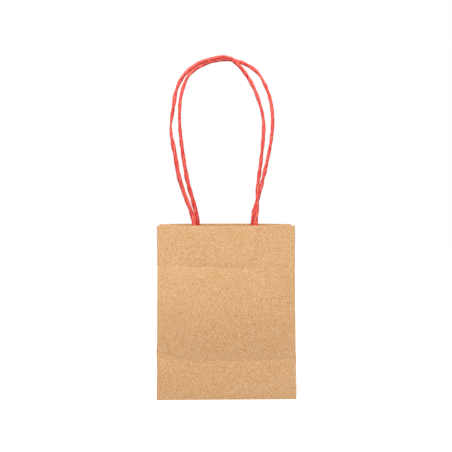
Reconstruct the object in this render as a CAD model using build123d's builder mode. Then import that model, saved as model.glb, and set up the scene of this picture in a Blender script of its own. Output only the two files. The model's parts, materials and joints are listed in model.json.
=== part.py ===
"""Paper gift bag with two twisted-cord handles.

The bag stands on its flat base: origin at the centre of the base, +Z up, and the front faces -Y.
Its two big walls lean in from the base folds, so the mouth is narrower than the base, and the
gusset on each side is folded inwards between them.
"""

import os
from math import acos, asin, cos, degrees, pi, radians, sin, tan

from build123d import *

# Overall sizes, in millimetres
bag_width = 120.0
bag_depth = 60.0
bag_height = 150.0  # length of the big walls, measured along the paper
rim_inset = 15.0  # how far each big wall's rim stands in from its base fold

# Paper
paper = 0.2
glue_gap = 0.02  # between flat sheets that are glued face to face
twist_gap = 0.08  # between the twisted sheets of a gusset and its turned-over rim
fold_gap = 0.15  # between the two sides of a folded crease
corner_gap = 0.8  # from a big wall's side fold to the edge of its gusset half
floor_gap = 0.1  # between the base layers and the walls' lower edges

# Base, folded from the ends of the big walls and gussets
flap_reach = 40.0  # how far each base flap reaches from its own fold
tuck_reach = 40.0  # how far each side tuck reaches from its own fold
step_length = 1.0  # where the inner flap steps up over the outer one

# Gussets
gusset_foot = 1.1  # height above the base layers at which a gusset half begins

# Turned-over rim and the strips that hold the handles
hem_height = 35.0
hem_side_inset = 3.0
gusset_hem_corner_inset = 4.5
gusset_hem_crease_inset = 0.5
patch_width = 95.0
patch_height = 32.0
patch_top_inset = 0.5
seam_lap_width = 12.0
seam_lap_inset = 2.0

# Handles of twisted paper cord
cord_diameter = 3.2
glued_length = 30.0  # length of each cord end held between the strips
axis_rise = 2.4  # height of the handle's bending line above the rim
end_gap = 0.3  # between the glued end and the rounded foot of the loop
handle_lean = radians(4.5)  # how far each loop leans away from the other
channel_gap = 0.05  # between a cord end and the strip pressed over it
arc_share = 0.45  # how much of a run the arc at each of its two corners may take

# Limits of the moving walls
closed_gap = 0.5  # left between the two patch covers when the mouth is pinched shut

# Each handle's loop, as distance to the right and height above its bending line
front_loop_route = [
    (-27.5, 0.0),
    (-29.5, 10.0),
    (-34.5, 23.0),
    (-40.2, 41.0),
    (-43.2, 60.0),
    (-47.6, 81.0),
    (-45.8, 97.0),
    (-42.5, 115.5),
    (-36.0, 130.0),
    (-24.5, 139.3),
    (-11.5, 144.0),
    (1.5, 144.6),
    (13.0, 136.0),
    (22.0, 121.5),
    (28.8, 106.0),
    (32.8, 89.0),
    (32.2, 73.0),
    (30.2, 51.0),
    (28.0, 34.0),
    (27.8, 17.0),
    (26.7, 6.0),
    (26.5, 0.0),
]
back_loop_route = [
    (-24.5, 0.0),
    (-25.2, 7.0),
    (-28.4, 18.5),
    (-33.4, 35.0),
    (-36.6, 51.5),
    (-39.8, 70.0),
    (-41.7, 91.0),
    (-41.6, 109.0),
    (-39.3, 122.0),
    (-33.5, 136.3),
    (-22.0, 145.2),
    (-8.5, 150.3),
    (6.5, 151.1),
    (19.5, 147.4),
    (31.0, 139.6),
    (38.0, 126.5),
    (42.5, 112.0),
    (44.2, 95.0),
    (42.8, 77.0),
    (39.1, 58.0),
    (35.4, 41.5),
    (30.2, 22.0),
    (26.2, 11.0),
    (25.0, 5.0),
    (24.9, 0.0),
]
# Where each glued cord end stops, as distance to the right, left end then right end
front_end_stops = (-25.3, 23.0)
back_end_stops = (-22.8, 22.5)

# Worked out from the sizes above
half_width = bag_width / 2
half_depth = bag_depth / 2
cord_radius = cord_diameter / 2
wall_lean = asin(rim_inset / bag_height)
base_top = 2 * paper + glue_gap  # the two base flaps where they overlap
tuck_bottom = base_top + glue_gap
wall_bottom = paper + floor_gap
wall_length = bag_height - wall_bottom
rim_z = wall_bottom + wall_length * cos(wall_lean)
gusset_bottom = tuck_bottom + paper + floor_gap
# Layers inside a big wall, as distances in from its outer face
hem_in = paper + glue_gap
backing_in = hem_in + paper + glue_gap
cover_in = backing_in + paper + glue_gap
cord_in = backing_in + paper + channel_gap + cord_radius
channel_radius = cord_radius + channel_gap
stack_in = cord_in + channel_radius + paper
end_top = wall_length + axis_rise - cord_radius - end_gap
end_bottom = wall_length - glued_length
# Folded gusset: the base triangle tips in until its crease to the wall keeps its length
triangle_tip = acos((1 - sin(wall_lean)) / cos(wall_lean))
apex_x = half_width - half_depth * sin(triangle_tip)
apex_z = half_depth * cos(triangle_tip)
rim_half_gap = half_depth - rim_inset
rim_crease_x = half_width - (half_depth**2 - rim_half_gap**2) ** 0.5

FRONT = 1
BACK = -1
LEFT = -1
RIGHT = 1
wall_names = {FRONT: "front", BACK: "back"}
gusset_names = {LEFT: "left", RIGHT: "right"}


def wall_plane(wall, up):
    """The plane across a big wall, `up` along it from its base fold; its local y points inwards."""
    rise = Vector(0, wall * sin(wall_lean), cos(wall_lean))
    fold = Vector(0, -wall * half_depth, wall_bottom)
    return Plane(origin=fold + rise * up, x_dir=(wall, 0, 0), z_dir=rise)


def in_wall(wall, x, inward, up):
    """A point given by its distance to the right, in from the wall's outer face and up along it."""
    return wall_plane(wall, up).from_local_coords(Vector(wall * x, inward, 0))


def save(part, name):
    """Label a finished piece and write its file."""
    part.label = name
    export_step(part, "parts/" + name + ".step")


def make_sheet(wall, name, left, right, inward, bottom, top):
    """A flat sheet glued to a big wall, or the wall itself."""
    with BuildPart() as sheet:
        with BuildSketch(wall_plane(wall, bottom)):
            with Locations((wall * (left + right) / 2, inward + paper / 2)):
                Rectangle(right - left, paper)
        extrude(amount=top - bottom)
    save(sheet.part, name)


def end_x(stop, start, up):
    """How far to the right a glued cord end lies, `up` along the wall."""
    share = (up - end_bottom) / (wall_length + axis_rise - end_bottom)
    return stop + (start - stop) * share


def channel_bar(wall, stop, start, radius, floor, bottom, top, mode):
    """A bar with a rounded top that follows one glued cord end."""
    low = Vector(*in_wall(wall, end_x(stop, start, bottom), cord_in, bottom))
    high = Vector(*in_wall(wall, end_x(stop, start, top), cord_in, top))
    with BuildSketch(wall_plane(wall, bottom)) as profile:
        x = wall * end_x(stop, start, bottom)
        with Locations((x, cord_in)):
            Circle(radius)
        with Locations((x, (cord_in + floor) / 2)):
            Rectangle(2 * radius, cord_in - floor)
        with Locations((x, floor - radius)):
            Rectangle(4 * radius, 2 * radius, mode=Mode.SUBTRACT)
    extrude(profile.sketch, amount=(high - low).length, dir=(high - low).normalized(), mode=mode)


def make_patch_cover(wall, name, bottom, top, stops, starts):
    """The strip pressed over the two glued cord ends, with a raised channel along each of them."""
    with BuildPart() as cover:
        with BuildSketch(wall_plane(wall, bottom)):
            with Locations((0, cover_in + paper / 2)):
                Rectangle(patch_width, paper)
        extrude(amount=top - bottom)
        for stop, start in zip(stops, starts):
            outside = channel_radius + paper
            channel_bar(wall, stop, start, outside, cover_in, bottom, top, Mode.ADD)
        for stop, start in zip(stops, starts):
            below = cover_in - paper
            channel_bar(wall, stop, start, channel_radius, below, bottom, top, Mode.SUBTRACT)
    save(cover.part, name)


def make_cord_end(wall, name, stop, start):
    """One end of a handle's cord, glued between the strips."""
    low = in_wall(wall, end_x(stop, start, end_bottom), cord_in, end_bottom)
    high = in_wall(wall, end_x(stop, start, end_top), cord_in, end_top)
    with BuildPart() as end:
        with BuildSketch(Plane(origin=low, z_dir=high - low)):
            Circle(cord_radius)
        extrude(amount=(high - low).length)
    save(end.part, name)


def corner_radii(points):
    """The arc at each corner of a cord's route: as large as its two runs allow."""
    radii = []
    for before, corner, after in zip(points, points[1:], points[2:]):
        arriving = corner - before
        leaving = after - corner
        turn = radians(arriving.get_angle(leaving))
        reach = arc_share * min(arriving.length, leaving.length)
        radii.append(reach / tan(turn / 2))
    return radii


def make_handle(wall, name, route):
    """The free loop of a handle, with a rounded foot at each end on its bending line."""
    axis = in_wall(wall, 0, cord_in, wall_length + axis_rise)
    away = Vector(0, -wall * sin(handle_lean), cos(handle_lean))
    points = [Vector(x, axis.Y, axis.Z) + away * height for x, height in route]
    radii = corner_radii(points)
    with BuildPart() as handle:
        with BuildLine() as path:
            FilletPolyline(*points, radius=radii)
        with BuildSketch(Plane(origin=points[0], z_dir=points[1] - points[0])):
            Circle(cord_radius)
        sweep(path=path.line)
        with Locations(points[0], points[-1]):
            Sphere(cord_radius)
    save(handle.part, name)
    length = path.wire().length
    plain = pi * cord_radius**2 * length + 4 / 3 * pi * cord_radius**3
    print(name, "free cord", round(length, 1), "mm, radii", [round(r) for r in radii])
    print("  volume", round(handle.part.volume, 1), "against", round(plain, 1), "mm3")
    print("  bending line at y", round(axis.Y, 3), "z", round(axis.Z, 3))


def section_line(side, wall, height):
    """The two ends of a folded gusset half at one height: at the big wall, then at its crease."""
    up = (height - wall_bottom) / cos(wall_lean)
    edge = Vector(side * half_width, -wall * (half_depth - up * sin(wall_lean)), height)
    if height <= apex_z:
        share = height / apex_z
        x = half_width + (apex_x - half_width) * share
        y = half_depth * (1 - share)
    else:
        x = apex_x + (rim_crease_x - apex_x) * (height - apex_z) / (rim_z - apex_z)
        y = 0
    return edge, Vector(side * x, -wall * y, height)


def gusset_section(side, wall, height, from_edge, from_crease, inward):
    """A thin horizontal section of a gusset half, moved `inward` towards its big wall."""
    edge, crease = section_line(side, wall, height)
    along = (crease - edge).normalized()
    towards_wall = Vector(-along.Y, along.X, 0) * (side * wall)
    mitre = paper / 2 * abs(along.X / along.Y)  # keeps the sheet's corner on its side of the crease
    first = edge + along * from_edge + towards_wall * inward
    last = crease - along * (from_crease + mitre) + towards_wall * inward
    half = towards_wall * (paper / 2)
    with BuildSketch(Plane.XY.offset(height)) as section:
        with BuildLine():
            corners = [first - half, last - half, last + half, first + half]
            Polyline(*[(point.X, point.Y) for point in corners], close=True)
        make_face()
    return section.sketch


def make_gusset_half(side, wall, name):
    """Half of a folded gusset, from the base corner up its slanting crease and on to the rim."""
    heights = [gusset_bottom + gusset_foot, apex_z, rim_z]
    with BuildPart() as half:
        for low, high in zip(heights, heights[1:]):
            sections = [gusset_section(side, wall, z, corner_gap, fold_gap, 0) for z in (low, high)]
            loft(sections, ruled=True)
    save(half.part, name)


def make_gusset_hem(side, wall, name):
    """The turned-over rim on one gusset half, on its inner face."""
    insets = (gusset_hem_corner_inset, gusset_hem_crease_inset, paper + twist_gap)
    heights = (rim_z - hem_height * cos(wall_lean), rim_z)
    with BuildPart() as hem:
        loft([gusset_section(side, wall, z, *insets) for z in heights], ruled=True)
    save(hem.part, name)


def make_base_triangle(side, name):
    """The triangle at the foot of a gusset, tipped in between its two slanting creases."""
    margin = 2 * fold_gap
    low = (gusset_bottom + paper * sin(triangle_tip)) / cos(triangle_tip)
    foot = Plane(
        origin=(side * half_width, 0, 0),
        x_dir=(0, side, 0),
        z_dir=(side * cos(triangle_tip), 0, sin(triangle_tip)),
    )
    with BuildPart() as triangle:
        with BuildSketch(foot):
            with BuildLine():
                base = half_depth - low - 2 * margin
                Polyline((-base, low), (base, low), (0, half_depth - 2 * margin), close=True)
            make_face()
        extrude(amount=-paper)
    save(triangle.part, name)


def make_outer_flap():
    """The base flap folded in from the front wall; the bag rests on it."""
    narrow = half_width - flap_reach
    with BuildPart() as flap:
        with BuildSketch():
            with BuildLine():
                front = -half_depth
                back = -half_depth + flap_reach
                fold = [(-half_width, front), (half_width, front)]
                Polyline(*fold, (narrow, back), (-narrow, back), close=True)
            make_face()
        extrude(amount=paper)
    save(flap.part, "bottom_outer_flap")


def make_inner_flap():
    """The base flap folded in from the back wall; it steps up over the outer flap."""
    narrow = half_width - flap_reach
    outer_edge = flap_reach - half_depth
    step = outer_edge + fold_gap
    raised = paper + glue_gap
    end = half_depth - flap_reach
    with BuildPart() as flap:
        with BuildSketch(Plane.YZ):
            with BuildLine():
                lower = [(half_depth, 0), (step + step_length, 0), (step, raised), (end, raised)]
                upper = [(y, z + paper) for y, z in reversed(lower)]
                Polyline(*lower, *upper, close=True)
            make_face()
        extrude(amount=half_width, both=True)
        with BuildSketch():
            with BuildLine():
                fold = [(-half_width, half_depth), (half_width, half_depth)]
                Polyline(*fold, (narrow, end), (-narrow, end), close=True)
            make_face()
        extrude(amount=3 * paper + raised, mode=Mode.INTERSECT)
    save(flap.part, "bottom_inner_flap")


def make_tuck(side, name):
    """A gusset's own base flap, lying inside the bag on the two big flaps."""
    with BuildPart() as tuck:
        with BuildSketch(Plane.XY.offset(tuck_bottom)):
            with Locations((side * (half_width - fold_gap - tuck_reach / 2), 0)):
                Rectangle(tuck_reach, bag_depth - 4 * fold_gap)
        extrude(amount=paper)
    save(tuck.part, name)


os.makedirs("parts", exist_ok=True)
hem_bottom = wall_length - hem_height
patch_bottom = wall_length - patch_height
patch_top = wall_length - patch_top_inset
routes = {FRONT: front_loop_route, BACK: back_loop_route}
all_stops = {FRONT: front_end_stops, BACK: back_end_stops}

for wall, wall_name in wall_names.items():
    route = routes[wall]
    stops = all_stops[wall]
    starts = (route[0][0], route[-1][0])
    make_sheet(wall, wall_name + "_panel", -half_width, half_width, 0, 0, wall_length)
    backing = wall_name + "_patch_backing"
    half_patch = patch_width / 2
    make_sheet(wall, backing, -half_patch, half_patch, backing_in, patch_bottom, patch_top)
    make_patch_cover(wall, wall_name + "_patch_cover", patch_bottom, patch_top, stops, starts)
    half_hem = half_width - hem_side_inset
    make_sheet(wall, wall_name + "_hem", -half_hem, half_hem, hem_in, hem_bottom, wall_length)
    for hand, stop, start in zip(("left", "right"), stops, starts):
        make_cord_end(wall, wall_name + "_handle_" + hand + "_end", stop, start)
    make_handle(wall, wall_name + "_handle", route)

lap_left = -half_width + seam_lap_inset
lap = (lap_left, lap_left + seam_lap_width, hem_in)
make_sheet(BACK, "seam_lap", *lap, seam_lap_inset, hem_bottom - seam_lap_inset)

for side, gusset_name in gusset_names.items():
    for wall, wall_name in wall_names.items():
        half_name = gusset_name + "_gusset_" + wall_name
        make_gusset_half(side, wall, half_name + "_half")
        make_gusset_hem(side, wall, half_name + "_hem")
    make_base_triangle(side, gusset_name + "_gusset_base_triangle")
    make_tuck(side, "bottom_" + gusset_name + "_tuck")

make_outer_flap()
make_inner_flap()

closed_lean = asin((half_depth - closed_gap / 2 - stack_in) / bag_height)
print("walls lean in", round(degrees(wall_lean), 2), "deg; open by as much to stand upright")
print("walls close by", round(degrees(closed_lean - wall_lean), 2), "deg")
print("wall fold at y", round(half_depth, 3), "z", round(wall_bottom, 3), "rim z", round(rim_z, 2))
print("gusset crease: apex x", round(apex_x, 2), "z", round(apex_z, 2), "rim x", round(rim_crease_x, 2))
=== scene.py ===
"""A small kraft-paper gift bag with two twisted red paper handles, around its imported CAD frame."""

import json
from math import acos, atan2, cos, exp, pi, radians, sin, sqrt

import bpy
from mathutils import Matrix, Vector, noise


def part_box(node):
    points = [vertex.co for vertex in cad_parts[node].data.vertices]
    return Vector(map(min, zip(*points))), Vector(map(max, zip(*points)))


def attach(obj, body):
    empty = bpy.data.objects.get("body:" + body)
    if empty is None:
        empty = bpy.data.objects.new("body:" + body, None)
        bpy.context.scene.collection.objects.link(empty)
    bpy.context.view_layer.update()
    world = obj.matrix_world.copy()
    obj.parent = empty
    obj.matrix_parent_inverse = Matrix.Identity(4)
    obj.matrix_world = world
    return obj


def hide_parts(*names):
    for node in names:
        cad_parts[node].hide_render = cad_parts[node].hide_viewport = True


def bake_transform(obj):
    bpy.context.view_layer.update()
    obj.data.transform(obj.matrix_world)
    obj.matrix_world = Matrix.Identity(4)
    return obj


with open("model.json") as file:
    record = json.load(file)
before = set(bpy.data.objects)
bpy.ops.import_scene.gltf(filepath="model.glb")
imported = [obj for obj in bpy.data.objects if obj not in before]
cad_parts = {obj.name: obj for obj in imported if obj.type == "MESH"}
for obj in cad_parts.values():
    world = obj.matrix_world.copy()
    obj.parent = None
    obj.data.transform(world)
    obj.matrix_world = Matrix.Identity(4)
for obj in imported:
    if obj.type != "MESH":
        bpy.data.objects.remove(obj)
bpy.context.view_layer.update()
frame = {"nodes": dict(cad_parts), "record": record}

# Sizes of the folded paper, in metres
mm = 0.001
paper = 0.2 * mm
glue_gap = 0.02 * mm
hem_height = 35 * mm
patch_width = 95 * mm
patch_height = 32 * mm
patch_top_inset = 0.5 * mm
fold_radius = 0.3 * mm
base_radius = 0.45 * mm
base_start = base_radius - fold_radius  # where the wall's roll under the base begins
rim_radius = 0.3 * mm
rim_puff = rim_radius - paper - glue_gap / 2  # how far the round rim stands out from the wall
rim_blend = 3 * mm  # the height over which the wall's relief fades out below the rim
crease_height = {"front": 32.6 * mm, "back": 45 * mm}  # of the flat-fold crease, at its middle
left_crease_climb = 7.6 * mm
right_crease_climb = 1.4 * mm
corner_push = 0.5 * mm  # how far the crease pushes a corner out sideways
rim_rise = {"front": -0.15 * mm, "back": 0.65 * mm}  # of each rim between its corners
gusset_bulge = 0.9 * mm

# Sizes of the cord, in metres
cord_diameter = 3.2 * mm
cord_step = 0.6 * mm
cord_sides = 24
cord_pitch = 27  # millimetres along the cord for one turn of its twist
glued_length = 30 * mm
axis_rise = 2.4 * mm
handle_lean = radians(4.5)
cord_seed = {"front": 3.7, "back": 11.2}

# Each handle's loop, as distance to the right and height above its bending line, in millimetres
loop_routes = {
    "front": [
        (-28.0, 0.0),
        (-30.2, 9.8),
        (-35.5, 22.6),
        (-41.5, 40.7),
        (-44.1, 59.9),
        (-48.6, 80.9),
        (-45.8, 97.0),
        (-43.1, 115.7),
        (-35.2, 129.1),
        (-23.8, 137.2),
        (-11.2, 141.2),
        (1.8, 142.9),
        (11.8, 134.6),
        (21.5, 121.1),
        (28.2, 105.8),
        (32.6, 89.0),
        (32.0, 73.0),
        (29.9, 51.0),
        (27.5, 34.0),
        (27.2, 17.0),
        (26.5, 6.0),
        (26.3, 0.0),
    ],
    "back": [
        (-25.4, 0.0),
        (-26.2, 6.8),
        (-29.2, 18.3),
        (-34.2, 34.8),
        (-37.2, 51.4),
        (-40.0, 70.0),
        (-42.1, 91.0),
        (-41.8, 109.0),
        (-39.3, 122.2),
        (-33.6, 136.2),
        (-21.8, 144.4),
        (-8.4, 149.2),
        (7.0, 149.6),
        (18.6, 145.7),
        (30.0, 138.6),
        (37.0, 126.1),
        (42.0, 111.9),
        (43.9, 95.0),
        (42.6, 77.0),
        (38.9, 58.0),
        (35.0, 41.6),
        (30.1, 22.0),
        (26.0, 11.0),
        (25.0, 5.0),
        (24.9, 0.0),
    ],
}
# Thin places along each cord, as (distance from its start, half width, share lost), in metres
cord_waists = {
    "front": [(119 * mm, 7 * mm, 0.42), (262 * mm, 9 * mm, 0.2), (298 * mm, 5 * mm, 0.1)],
    "back": [(128 * mm, 6 * mm, 0.2), (163 * mm, 4 * mm, 0.12), (248 * mm, 6 * mm, 0.15)],
}
# Where each glued end stops, as distance to the right in millimetres, left end then right end
end_stops = {"front": (-25.3, 23.0), "back": (-22.8, 22.5)}

# The folded shape, from the CAD boxes
walls = {"front": 1, "back": -1}
sides = {"left": -1, "right": 1}
panel_low, panel_high = [Vector(corner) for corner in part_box("front_panel")]
fold = next(j for j in frame["record"]["behaviour"]["joints"] if j["name"] == "front_wall_fold")
half_width = panel_high.x
half_depth = -panel_low.y
wall_bottom = fold["pos_m"][2]
wall_lean = atan2(panel_high.y - paper - panel_low.y, panel_high.z - wall_bottom)
wall_length = (panel_high.z - wall_bottom) / cos(wall_lean)
rim_inset = wall_length * sin(wall_lean)
hem_in = paper + glue_gap
backing_in = hem_in + paper + glue_gap
cover_in = backing_in + paper + glue_gap
cord_in = backing_in + paper + 0.05 * mm + cord_diameter / 2
triangle_tip = acos((1 - sin(wall_lean)) / cos(wall_lean))
gusset_foot = 0.45 * mm
apex_x = half_width - half_depth * sin(triangle_tip)
apex_z = half_depth * cos(triangle_tip)
rim_crease_x = half_width - sqrt(half_depth**2 - (half_depth - rim_inset) ** 2)


def in_wall(wall, x, inward, up):
    """A point given by its distance to the right, in from a wall's outer face, and up along it."""
    side = walls[wall]
    y = -side * (half_depth - up * sin(wall_lean) - inward * cos(wall_lean))
    return Vector((x, y, wall_bottom + up * cos(wall_lean) - inward * sin(wall_lean)))


def ease(low, high, value):
    """Smooth step from 0 at `low` to 1 at `high`."""
    share = min(1.0, max(0.0, (value - low) / (high - low)))
    return share * share * (3 - 2 * share)


def steps(low, high, count):
    """Evenly spaced values from `low` to `high`, both ends included."""
    return [low + (high - low) * i / count for i in range(count + 1)]


# Camera, light and floor

white = (1, 1, 1, 1)


def add_camera():
    """A long lens a little above the middle of the bag, looking slightly down."""
    camera = bpy.data.cameras.new("camera")
    camera.lens = 55.3
    camera.clip_start = 0.01
    viewer = bpy.data.objects.new("camera", camera)
    viewer.location = (-0.0142, -0.620, 0.1728)
    viewer.rotation_euler = (radians(90 - 2.27), 0, radians(-1.33))
    bpy.context.scene.collection.objects.link(viewer)
    bpy.context.scene.camera = viewer


def add_softbox(name, place, aim, size, watts):
    """A rectangular soft light that the camera doesn't see."""
    light = bpy.data.lights.new(name, "AREA")
    light.shape = "RECTANGLE"
    light.size, light.size_y = size
    light.energy = watts
    lamp = bpy.data.objects.new(name, light)
    lamp.location = place
    lamp.visible_camera = False
    lamp.rotation_euler = (Vector(aim) - Vector(place)).to_track_quat("-Z", "Y").to_euler()
    bpy.context.scene.collection.objects.link(lamp)


def add_studio():
    """A white backdrop with soft light from all round, four softboxes and a white floor."""
    world = bpy.data.worlds.new("studio")
    world.use_nodes = True
    sky = Shading(world.node_tree)
    soft = sky.node("ShaderNodeBackground", {}, {"Color": white, "Strength": 0.5}).outputs[0]
    backdrop = sky.node("ShaderNodeBackground", {}, {"Color": white, "Strength": 1.0}).outputs[0]
    seen = sky.node("ShaderNodeLightPath", {}, {}).outputs["Is Camera Ray"]
    choice = sky.node("ShaderNodeMixShader", {}, {0: seen, 1: soft, 2: backdrop}).outputs[0]
    sky.feed(sky.tree.nodes["World Output"].inputs["Surface"], choice)
    bpy.context.scene.world = world
    bpy.context.scene.view_settings.view_transform = "Standard"
    add_softbox("key light", (-0.12, -0.5, 0.85), (0, 0, 0.1), (0.5, 0.4), 9.3)
    add_softbox("fill light", (0.9, -1.1, 0.35), (0, 0, 0.05), (0.7, 0.7), 1.9)
    add_softbox("left back light", (-0.8, 0.9, 0.5), (0, 0, 0.1), (0.6, 0.6), 3.2)
    add_softbox("right back light", (0.8, 0.9, 0.5), (0, 0, 0.1), (0.6, 0.6), 3.2)
    add_floor()


def add_floor():
    """A white floor that glows a little, more so away from the bag, and throws no light up on it."""
    bpy.ops.object.select_all(action="DESELECT")
    bpy.ops.mesh.primitive_circle_add(vertices=96, radius=2, fill_type="NGON")
    floor = bpy.context.object
    floor.name = "floor"
    floor.visible_diffuse = False
    matte = Finish("white floor", roughness=0.9)
    matte.set("Base Color", (0.86, 0.86, 0.86, 1))
    settings = {"operation": "LENGTH"}
    measured = matte.node("ShaderNodeVectorMath", settings, {0: matte.coordinates()})
    reach = Value(matte, measured.outputs[1])
    near, far = (0.30, 0.30, 0.30, 1), (0.9, 0.9, 0.9, 1)
    matte.set("Emission Color", matte.blend_colours((reach * 2.4 - 0.5).clamped(), near, far))
    matte.set("Emission Strength", 1.0)
    floor.data.materials.append(matte.material)


# Materials


class Value:
    """One number that varies over a surface; arithmetic on it adds Math nodes."""

    def __init__(self, finish, socket):
        self.finish = finish
        self.socket = socket

    def math(self, operation, *others):
        sockets = {0: self.socket}
        for index, other in enumerate(others):
            sockets[index + 1] = other.socket if isinstance(other, Value) else other
        made = self.finish.node("ShaderNodeMath", {"operation": operation}, sockets)
        return Value(self.finish, made.outputs[0])

    def __add__(self, other):
        return self.math("ADD", other)

    def __mul__(self, other):
        return self.math("MULTIPLY", other)

    def __sub__(self, other):
        return self.math("SUBTRACT", other)

    def __rsub__(self, other):
        return self * -1 + other

    def clamped(self):
        return self.math("MAXIMUM", 0).math("MINIMUM", 1)

    __radd__ = __add__
    __rmul__ = __mul__


class Shading:
    """A shader's nodes in the making."""

    def __init__(self, tree):
        self.tree = tree

    def node(self, kind, settings, sockets):
        """A new node: its settings first, then the values or links of its sockets."""
        made = self.tree.nodes.new(kind)
        for name, value in settings.items():
            setattr(made, name, value)
        for name, value in sockets.items():
            self.feed(made.inputs[name], value)
        return made

    def feed(self, socket, value):
        """Give a socket a value, or a link from another socket."""
        if isinstance(value, Value):
            value = value.socket
        if isinstance(value, bpy.types.NodeSocket):
            self.tree.links.new(value, socket)
        else:
            socket.default_value = value


class Finish(Shading):
    """A material in the making, around one Principled shader."""

    def __init__(self, name, roughness):
        self.material = bpy.data.materials.new(name)
        self.material.use_nodes = True
        super().__init__(self.material.node_tree)
        self.surface = self.tree.nodes["Principled BSDF"]
        self.set("Roughness", roughness)

    def set(self, name, value):
        """Give one of the shader's own sockets a value or a link."""
        self.feed(self.surface.inputs[name], value)

    def coordinates(self, scale=(1, 1, 1), turn=(0, 0, 0)):
        """Object coordinates, turned and then stretched."""
        source = self.node("ShaderNodeTexCoord", {}, {}).outputs["Object"]
        settings = {"vector_type": "POINT"}
        turned = self.node("ShaderNodeMapping", settings, {"Vector": source, "Rotation": turn})
        sockets = {"Vector": turned.outputs[0], "Scale": scale}
        return self.node("ShaderNodeMapping", settings, sockets).outputs[0]

    def noise(self, vector, scale, detail=2.0, roughness=0.5):
        """Soft noise around 0."""
        sockets = {"Vector": vector, "Scale": scale, "Detail": detail, "Roughness": roughness}
        made = self.node("ShaderNodeTexNoise", {}, sockets)
        return Value(self, made.outputs[0]) - 0.5

    def attribute(self, name):
        made = self.node("ShaderNodeAttribute", {"attribute_name": name}, {})
        return Value(self, made.outputs["Fac"])

    def blend_colours(self, factor, first, second):
        settings = {"data_type": "RGBA"}
        made = self.node("ShaderNodeMix", settings, {"Factor": factor, 6: first, 7: second})
        return made.outputs[2]

    def bump(self, height, strength, distance):
        sockets = {"Height": height, "Strength": strength, "Distance": distance}
        self.set("Normal", self.node("ShaderNodeBump", {}, sockets).outputs[0])


def kraft_paper(name, dark, light):
    """Brown paper: fine mottled fibre, short lighter and darker fibres, and faint cloudiness."""
    kraft = Finish(name, roughness=0.82)
    flat = kraft.coordinates()
    slanted = kraft.coordinates(scale=(1, 1, 0.42), turn=(0, radians(57), 0))
    grain = kraft.noise(flat, 1800, detail=4, roughness=0.65)
    fibre = kraft.noise(slanted, 2500, detail=1)
    mottle = kraft.noise(flat, 420)
    cloud = kraft.noise(flat, 28, detail=2)
    fleck = (kraft.noise(slanted, 2300, detail=1) - 0.19).clamped()
    speck = (kraft.noise(flat, 900, detail=1) - 0.2).clamped()
    tone = grain * 1.7 + fibre * 2.0 + mottle * 0.12 + cloud * 0.12 + fleck * 3 - speck * 6 + 0.5
    kraft.set("Base Color", kraft.blend_colours(tone.clamped(), dark, light))
    kraft.set("Specular IOR Level", 0.3)
    kraft.bump(grain + fibre * 0.7, 0.3, 0.15 * mm)
    return kraft.material


def red_paper():
    """Coral-red twisted paper: pale streaks along its lay, pale flecks as painted glints, and
    painted shade that deepens the red in its folds.
    """
    red = Finish("red twisted paper", roughness=0.6)
    lay = red.node("ShaderNodeAttribute", {"attribute_name": "lay"}, {}).outputs["Vector"]
    fold_depth_and_shade = red.attribute("fold_depth_and_shade")
    streaks = red.noise(lay, 2000, detail=2, roughness=0.6)
    broad = red.noise(lay, 450, detail=1)
    grain = red.noise(red.coordinates(), 1200, detail=2)
    # Pale flecks along the lay: painted glints.
    painted_glints = (red.noise(lay, 3200, detail=1) - 0.12).clamped()
    # The fold depth darkens the tone: painted shade in the cord's folds.
    tone = 0.5 + streaks * 3.4 + broad * 0.8 + grain * 1.3 + painted_glints * 5 - fold_depth_and_shade * 0.5
    deep = (0.53, 0.006, 0.005, 1)
    pale = (0.925, 0.176, 0.133, 1)
    red.set("Base Color", red.blend_colours(tone.clamped(), deep, pale))
    red.set("Specular IOR Level", 0.25)
    red.bump(streaks + grain * 0.4 - fold_depth_and_shade * 0.3, 0.45, 0.2 * mm)
    return red.material


# Cords


def cord_points(wall):
    """The cord's whole route: up from one glued end, round the loop and down to the other."""
    side = walls[wall]
    axis = in_wall(wall, 0, cord_in, wall_length + axis_rise)
    away = Vector((0, -side * sin(handle_lean), cos(handle_lean)))
    loop = [Vector((x * mm, axis.y, axis.z)) + away * height * mm for x, height in loop_routes[wall]]
    low = wall_length - glued_length
    left, right = [in_wall(wall, stop * mm, cord_in, low) for stop in end_stops[wall]]
    return [left, *loop, right]


def smooth_line(name, points):
    """Points along the NURBS spline that has the route's points as its control points."""
    curve = bpy.data.curves.new(name, "CURVE")
    curve.dimensions = "3D"
    curve.resolution_u = 24
    spline = curve.splines.new("NURBS")
    spline.points.add(len(points) - 1)
    for control, point in zip(spline.points, points):
        control.co = (*point, 1)
    spline.order_u = 3
    spline.use_endpoint_u = True
    holder = bpy.data.objects.new(name, curve)
    bpy.context.scene.collection.objects.link(holder)
    line = bpy.data.meshes.new_from_object(holder)
    found = [vertex.co.copy() for vertex in line.vertices]
    bpy.data.objects.remove(holder)
    bpy.data.meshes.remove(line)
    bpy.data.curves.remove(curve)
    return found


def evenly(line, step):
    """The same line with its points `step` apart."""
    found = [line[0]]
    left = step
    for before, after in zip(line, line[1:]):
        run = (after - before).length
        at = left
        while at < run:
            found.append(before.lerp(after, at / run))
            at += step
        left = at - run
    found.append(line[-1])
    return found


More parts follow.
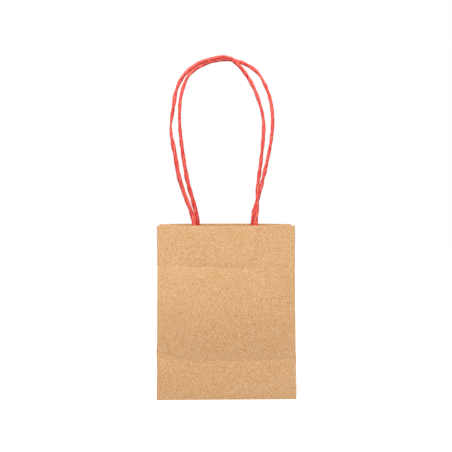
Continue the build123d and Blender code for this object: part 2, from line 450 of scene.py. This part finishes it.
def cord_profile(distance, angle, seed):
    """(share of the plain radius, depth of the fold there from 0 to 1, angle along the lay)."""
    d = distance / mm
    wander = 1.8 * noise.noise(Vector((d / 30, seed, 7.7)))
    ply = angle - 2 * pi * d / cord_pitch + wander
    fold_depth = 0
    for turn, weight, width in ((0, 1.0, 0.34), (2.5, 0.7, 0.26), (4.3, 0.55, 0.22)):
        strength = weight * (0.55 + 0.9 * noise.noise(Vector((d / 13, seed + turn, 2.1))))
        gap = (ply + turn + 0.5 * noise.noise(Vector((d / 9, seed, turn))) + pi) % (2 * pi) - pi
        fold_depth += max(0, strength) * exp(-((gap / width) ** 2))
    oval = 0.11 * cos(2 * ply + 0.8) * (1 + noise.noise(Vector((d / 20, seed, 4.4))))
    lump = 0.07 * noise.noise(Vector((d / 9, 2 * cos(ply), 2 * sin(ply) + seed)))
    waist = 0.1 * noise.noise(Vector((d / 14, seed, 0.3)))
    share = 0.98 + oval + lump + waist - 0.17 * min(1.2, fold_depth)
    return share, min(1, fold_depth), ply


def cord_girth(wall, distance, length):
    """How loosely the cord is twisted: fuller towards its ends, thin at its waists."""
    girth = 1.01 + 0.2 * (1 - ease(70 * mm, 125 * mm, distance))
    girth += 0.06 * (1 - ease(60 * mm, 130 * mm, length - distance))
    for place, width, loss in cord_waists[wall]:
        girth -= loss * exp(-(((distance - place) / width) ** 2))
    buried = min(distance, length - distance)
    pressed = 0.8 + 0.2 * ease(glued_length - 7 * mm, glued_length + 1 * mm, buried)
    return girth * pressed


def cord_shade(wall, distance):
    """How much deeper the red is along a part of the back cord."""
    return 0.28 * (1 - ease(95 * mm, 180 * mm, distance)) if wall == "back" else 0


def cord_mesh(wall, spine):
    """A twisted tube round the spine, with the depth of its folds, which the red material turns into
    painted shade, and its lay as attributes.
    """
    length = (len(spine) - 1) * cord_step
    vertices, faces, fold_shade_depths, lays = [], [], [], []
    across = Vector((0, 1, 0))
    for index, centre in enumerate(spine):
        before = spine[max(0, index - 1)]
        after = spine[min(len(spine) - 1, index + 1)]
        along = (after - before).normalized()
        across = (across - along * across.dot(along)).normalized()
        other = along.cross(across)
        distance = index * cord_step
        for step in range(cord_sides):
            angle = 2 * pi * step / cord_sides
            share, depth, ply = cord_profile(distance, angle, cord_seed[wall])
            reach = share * cord_girth(wall, distance, length) * cord_diameter / 2
            vertices.append(centre + across * reach * cos(angle) + other * reach * sin(angle))
            # The fold depth becomes painted shade in the folds; cord_shade adds a deeper red along
            # part of the back cord.
            fold_shade_depths.append(min(1, depth + cord_shade(wall, distance)))
            lays += [cord_diameter / 2 * cos(ply), cord_diameter / 2 * sin(ply), distance * 0.14]
    for first in range(0, (len(spine) - 1) * cord_sides, cord_sides):
        for step in range(cord_sides):
            low, low_next = first + step, first + (step + 1) % cord_sides
            faces.append((low, low_next, low_next + cord_sides, low + cord_sides))
    last = (len(spine) - 1) * cord_sides
    faces.append(tuple(reversed(range(cord_sides))))
    faces.append(tuple(range(last, last + cord_sides)))
    mesh = bpy.data.meshes.new(wall + "_handle_cord")
    mesh.from_pydata(vertices, [], faces)
    mesh.update()
    fold_depth_and_shade = mesh.attributes.new("fold_depth_and_shade", "FLOAT", "POINT")
    fold_depth_and_shade.data.foreach_set("value", fold_shade_depths)
    lay = mesh.attributes.new("lay", "FLOAT_VECTOR", "POINT")
    lay.data.foreach_set("vector", lays)
    mesh.polygons.foreach_set("use_smooth", [True] * len(mesh.polygons))
    return mesh


def make_cord(wall, finish):
    """One handle: a free cord from its left glued end to its right one."""
    spine = evenly(smooth_line(wall + "_route", cord_points(wall)), cord_step)
    mesh = cord_mesh(wall, spine)
    mesh.materials.append(finish)
    cord = bpy.data.objects.new(wall + "_handle_cord", mesh)
    bpy.context.scene.collection.objects.link(cord)
    ends = [wall + "_handle_left_end", wall + "_handle_right_end"]
    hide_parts(wall + "_handle", *ends)
    exit_point = in_wall(wall, loop_routes[wall][0][0] * mm, cord_in, wall_length - 2 * mm)
    [tuple(p) for p in spine]
    start = in_wall(wall, 0, cord_in, wall_length - 1 * mm)
    end = in_wall(wall, 0, cord_in, wall_length + axis_rise + 5 * mm)
    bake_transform(cord)


# Paper sheets


def make_sheet(name, across, along, place, finish, flip=False):
    """A curved sheet: a grid whose every crossing is put where `place` says, made paper-thick."""
    bpy.ops.object.select_all(action="DESELECT")
    columns, rows = len(across) - 1, len(along) - 1
    bpy.ops.mesh.primitive_grid_add(x_subdivisions=columns, y_subdivisions=rows, size=2)
    sheet = bpy.context.object
    sheet.name = name
    sheet.data.name = name
    for vertex in sheet.data.vertices:
        column = round((vertex.co.x + 1) / 2 * columns)
        row = round((vertex.co.y + 1) / 2 * rows)
        vertex.co = place(across[column], along[row])
    bpy.ops.object.mode_set(mode="EDIT")
    bpy.ops.mesh.select_all(action="SELECT")
    if flip:
        bpy.ops.mesh.flip_normals()
    bpy.ops.object.mode_set(mode="OBJECT")
    solid = sheet.modifiers.new("thickness", "SOLIDIFY")
    solid.thickness = paper
    solid.offset = -1
    bpy.ops.object.modifier_apply(modifier="thickness")
    bpy.ops.object.shade_smooth_by_angle(angle=radians(40))
    sheet.data.materials.append(finish)
    return sheet


def crease_line(wall, x):
    """How far up a wall its flat-fold crease runs: the front one climbs to its left corner."""
    up = crease_height[wall]
    if wall == "front":
        up += left_crease_climb * exp(-(x + half_width) / (10 * mm))
        up += right_crease_climb * max(0, x / half_width) ** 2
    return up


def corner_pop(wall, x, up):
    """How far a wall's side fold is pushed out sideways at the ends of its crease."""
    rise = up - crease_line(wall, x)
    return corner_push * exp(-((rise / (4.5 * mm)) ** 2)) * (x / half_width) ** 5


def cord_end_x(wall, hand, up):
    """How far to the right a glued cord end lies, `up` along its wall."""
    stop = end_stops[wall][hand] * mm
    start = loop_routes[wall][-hand][0] * mm
    share = (up - wall_length + glued_length) / (glued_length + axis_rise)
    return stop + (start - stop) * share


def belly_relief(wall, x, up):
    """The soft belly above a wall's crease and the valley along it."""
    crease = crease_line(wall, x)
    rise = up - crease
    belly = 1.6 * mm * ease(0, 48 * mm, rise) * (1 - ease(30 * mm, 98 * mm, rise))
    flat_edge = (x / half_width) ** 4
    valley = exp(-abs(rise) / (16 * mm)) * (0.6 + 0.4 * ease(0, crease, up))
    fold = 0.1 * mm * exp(-abs(rise) / (3.5 * mm))
    return belly * (1 - 0.75 * flat_edge) - 0.95 * mm * valley * ease(0, 16 * mm, up) - fold


def hem_relief(wall, x, up):
    """The step where the folded hem ends, most marked at the left and in the middle."""
    right = x * walls[wall]
    above = up - (wall_length - hem_height) + 0.041 * (right + 33 * mm)
    middle = exp(-(((right + 8 * mm) / (30 * mm)) ** 2))
    step = 0.12 * mm * ease(-0.8 * mm, 0.8 * mm, above)
    dip = (0.35 + 0.45 * middle) * mm * exp(-abs(above) / (6.5 * mm))
    return (step - dip) * (1 - ease(12 * mm, 48 * mm, right))


def cord_relief(wall, x, up):
    """The glued cord ends, which press through the paper, most at their tips."""
    out = 0
    held = ease(-31 * mm, -28 * mm, up - wall_length)
    tip = up - (wall_length - glued_length + 1 * mm)
    for hand in (0, 1):
        gap = x - cord_end_x(wall, hand, up)
        out += 0.5 * mm * held * exp(-((gap / (1.9 * mm)) ** 2))
        out += 0.3 * mm * exp(-((gap / (3.0 * mm)) ** 2) - (tip / (3.0 * mm)) ** 2)
    return out


def wall_offset(wall, x, up):
    """How far a wall's paper stands out from its flat plane."""
    ripple = 0.22 * mm * noise.noise(Vector((x * 28, up * 21, walls[wall] * 5.0)))
    ripple *= ease(0, 10 * mm, up) * (1 - ease(-12 * mm, 0, up - wall_length))
    out = belly_relief(wall, x, up) + ripple + hem_relief(wall, x, up) + cord_relief(wall, x, up)
    at_rim = ease(-rim_blend, 0, up - wall_length)
    return out * (1 - at_rim) + rim_puff * at_rim


def rim_bow(wall, x, up):
    """How much higher a wall's rim runs between its corners."""
    share = (1 - (x / half_width) ** 4) * ease(wall_length - 60 * mm, wall_length, up)
    return rim_rise[wall] * share


def wall_rows():
    """Distances along the paper: round the base fold, up the wall, over the rim and down the hem."""
    base = steps(base_start - base_radius * pi / 2, base_start, 6)[:-1]
    hem_edge = wall_length - hem_height
    face = steps(base_start, 28 * mm, 18)[:-1] + steps(28 * mm, 48 * mm, 28)[:-1]
    face += steps(48 * mm, hem_edge - 8 * mm, 38)[:-1]
    face += steps(hem_edge - 8 * mm, hem_edge + 9 * mm, 36)[:-1]
    face += steps(hem_edge + 9 * mm, wall_length - rim_blend, 20)[:-1]
    shoulder = steps(wall_length - rim_blend, wall_length - rim_radius, 5)[:-1]
    rim = steps(wall_length - rim_radius, wall_length - rim_radius + rim_radius * pi, 8)
    down = steps(rim[-1], rim[-1] + hem_height - rim_radius, 24)[1:]
    return base + face + shoulder + rim + down


def wall_paper(wall, x, along):
    """(distance in from the flat plane, distance up) of a point on the sheet's outer face."""
    rim_start = wall_length - rim_radius
    rim_end = rim_start + rim_radius * pi
    if along < base_start:
        angle = (base_start - along) / base_radius
        return base_radius * (1 - cos(angle)), base_start - base_radius * sin(angle)
    if along <= rim_start:
        return -wall_offset(wall, x, along), along
    middle = paper + glue_gap / 2
    if along <= rim_end:
        angle = (along - rim_start) / rim_radius
        return middle - rim_radius * cos(angle), rim_start + rim_radius * sin(angle)
    up = rim_start - (along - rim_end)
    inward = hem_in + paper - wall_offset(wall, x, up)
    return inward + 2 * rim_puff * ease(-rim_blend, 0, up - wall_length), up


def make_wall(wall, finish):
    """A wall's panel and its turned-over hem as one sheet, round both corner folds."""
    side = walls[wall]
    # (distance to the right, extra distance in) of each column, round the corner fold at the left
    turns = steps(0, pi / 2, 3)[:-1]
    left = [(fold_radius * (1 - cos(a)) - half_width, fold_radius * (1 - sin(a))) for a in turns]
    columns = steps(-half_width + fold_radius, half_width - fold_radius, 96)
    across = left + [(x, 0) for x in columns] + [(-x, inward) for x, inward in reversed(left)]

    def place(column, along):
        x, extra = column
        inward, up = wall_paper(wall, x, along)
        wide = x + corner_pop(wall, x, min(up, wall_length))
        return in_wall(wall, wide, inward + extra, up + rim_bow(wall, x, up))

    name = wall + "_wall_sheet"
    sheet = make_sheet(name, across, wall_rows(), place, finish, flip=side < 0)
    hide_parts(wall + "_panel", wall + "_hem")
    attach(sheet, wall + "_wall")


def make_patch_cover(wall, finish):
    """The strip on the inside that holds the cord ends, pressed down on both sides of them."""
    bottom = wall_length - patch_height
    top = wall_length - patch_top_inset
    clear = cord_in + cord_diameter / 2 + 0.15 * mm - cover_in

    def place(x, up):
        lift = 0
        for hand in (0, 1):
            gap = abs(x - cord_end_x(wall, hand, up))
            lift += clear * (1 - ease(1.1 * mm, 5 * mm, gap))
        return in_wall(wall, x, cover_in + paper + lift, up)

    across = steps(-patch_width / 2, patch_width / 2, 150)
    name = wall + "_patch_cover_sheet"
    rows = steps(bottom, top, 20)
    sheet = make_sheet(name, across, rows, place, finish, flip=walls[wall] > 0)
    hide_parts(wall + "_patch_cover")
    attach(sheet, wall + "_wall")


def make_seam_lap(finish):
    """The glued lap that closes the sheet, a strip inside the back wall beside its left corner."""
    lap_low, lap_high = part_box("seam_lap")
    across = steps(lap_low.x, lap_high.x, 6)
    low_end = (lap_low.z - wall_bottom) / cos(wall_lean)
    high_end = (lap_high.z - wall_bottom) / cos(wall_lean)

    def place(x, up):
        return in_wall("back", x, hem_in + paper - wall_offset("back", x, up), up)

    rows = steps(low_end, high_end, 90)
    sheet = make_sheet("seam_lap_sheet", across, rows, place, finish)
    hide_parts("seam_lap")
    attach(sheet, "back_wall")


def gusset_point(side, wall, off_edge, up):
    """A point on a folded gusset's outer face, by its distances off the wall's fold and up."""
    corner = side * half_width
    wide = corner + corner_pop(wall, corner, up)
    edge = in_wall(wall, wide, -wall_offset(wall, corner, up), up)
    if up < half_depth:
        z = gusset_foot + up * (apex_z - gusset_foot) / half_depth
        x = half_width - up * sin(triangle_tip)
        if up < off_edge:
            return Vector((side * x, -walls[wall] * (half_depth - off_edge), z))
        share = off_edge / up
        crease = Vector((side * x, -walls[wall] * (half_depth - up), z))
    else:
        share = off_edge / half_depth
        climb = (up - half_depth) / (wall_length - half_depth)
        x = apex_x + (rim_crease_x - apex_x) * climb
        z = apex_z + (panel_high.z - apex_z) * climb
        crease = Vector((side * x, 0, z))
    bulge = gusset_bulge * sin(pi * share) * ease(0, 40 * mm, up)
    bulge *= 1 - 0.5 * ease(110 * mm, wall_length, up)
    return edge.lerp(crease, share) + Vector((side * bulge * 0.5, walls[wall] * bulge, 0))


def gusset_normal(side, wall, off_edge, up):
    """The direction from the outer face of a gusset half towards the inside of the bag."""
    step = 0.4 * mm
    inner = min(max(off_edge, step), half_depth - step)
    level = min(max(up, half_depth + step), wall_length - step)

    def point(more_in, more_up):
        return gusset_point(side, wall, inner + more_in, level + more_up)

    across = point(step, 0) - point(-step, 0)
    rise = point(0, step) - point(0, -step)
    return across.cross(rise).normalized() * side * -walls[wall]


def make_gusset_half(side_name, wall, finish):
    """Half of a folded side, with its hem, stretched between the base and its wall."""
    side = sides[side_name]
    rim_start = wall_length - rim_radius
    rim_end = rim_start + rim_radius * pi

    def place(off_edge, along):
        if along <= rim_start:
            return gusset_point(side, wall, off_edge, along)
        if along <= rim_end:
            angle = (along - rim_start) / rim_radius
            base = gusset_point(side, wall, off_edge, rim_start)
            lift = Vector((0, 0, rim_radius * sin(angle)))
            inward = gusset_normal(side, wall, off_edge, rim_start) * rim_radius * (1 - cos(angle))
            return base + lift + inward
        up = rim_start - (along - rim_end)
        layers = 2 * rim_radius - 0.15 * mm * ease(0, 5 * mm, rim_start - up)
        inward = gusset_normal(side, wall, off_edge, up) * layers
        return gusset_point(side, wall, off_edge, up) + inward

    across = steps(fold_radius, half_depth, 26)
    rows = [0.0] + [row for row in wall_rows() if row >= base_start]
    name = side_name + "_gusset_" + wall + "_sheet"
    flip = side * walls[wall] < 0
    sheet = make_sheet(name, across, rows, place, finish, flip=flip)
    half = side_name + "_gusset_" + wall
    replaced = [half + "_half", half + "_hem"]
    if wall == "front":
        replaced.append(side_name + "_gusset_base_triangle")
    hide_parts(*replaced)
    crease_in = (half_depth - rim_inset) * cos(wall_lean)
    start = in_wall(wall, 0, crease_in - 0.5 * mm, wall_length / 2)
    end = in_wall(wall, 0, 1 * mm, wall_length / 2)
    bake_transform(sheet)


def finish_cad_nodes(kraft, patch):
    """The flat inner pieces and the base keep their CAD shape and get their paper."""
    for name, node in frame["nodes"].items():
        node.data.materials.clear()
        node.data.materials.append(patch if "patch" in name else kraft)


add_camera()
add_studio()
kraft = kraft_paper("kraft paper", (0.436, 0.178, 0.028, 1), (0.733, 0.503, 0.299, 1))
patch = kraft_paper("patch paper", (0.40, 0.165, 0.024, 1), (0.69, 0.47, 0.285, 1))
red = red_paper()
finish_cad_nodes(kraft, patch)
make_seam_lap(kraft)
for wall in walls:
    make_cord(wall, red)
    make_wall(wall, kraft)
    make_patch_cover(wall, patch)
    for side_name in sides:
        make_gusset_half(side_name, wall, kraft)
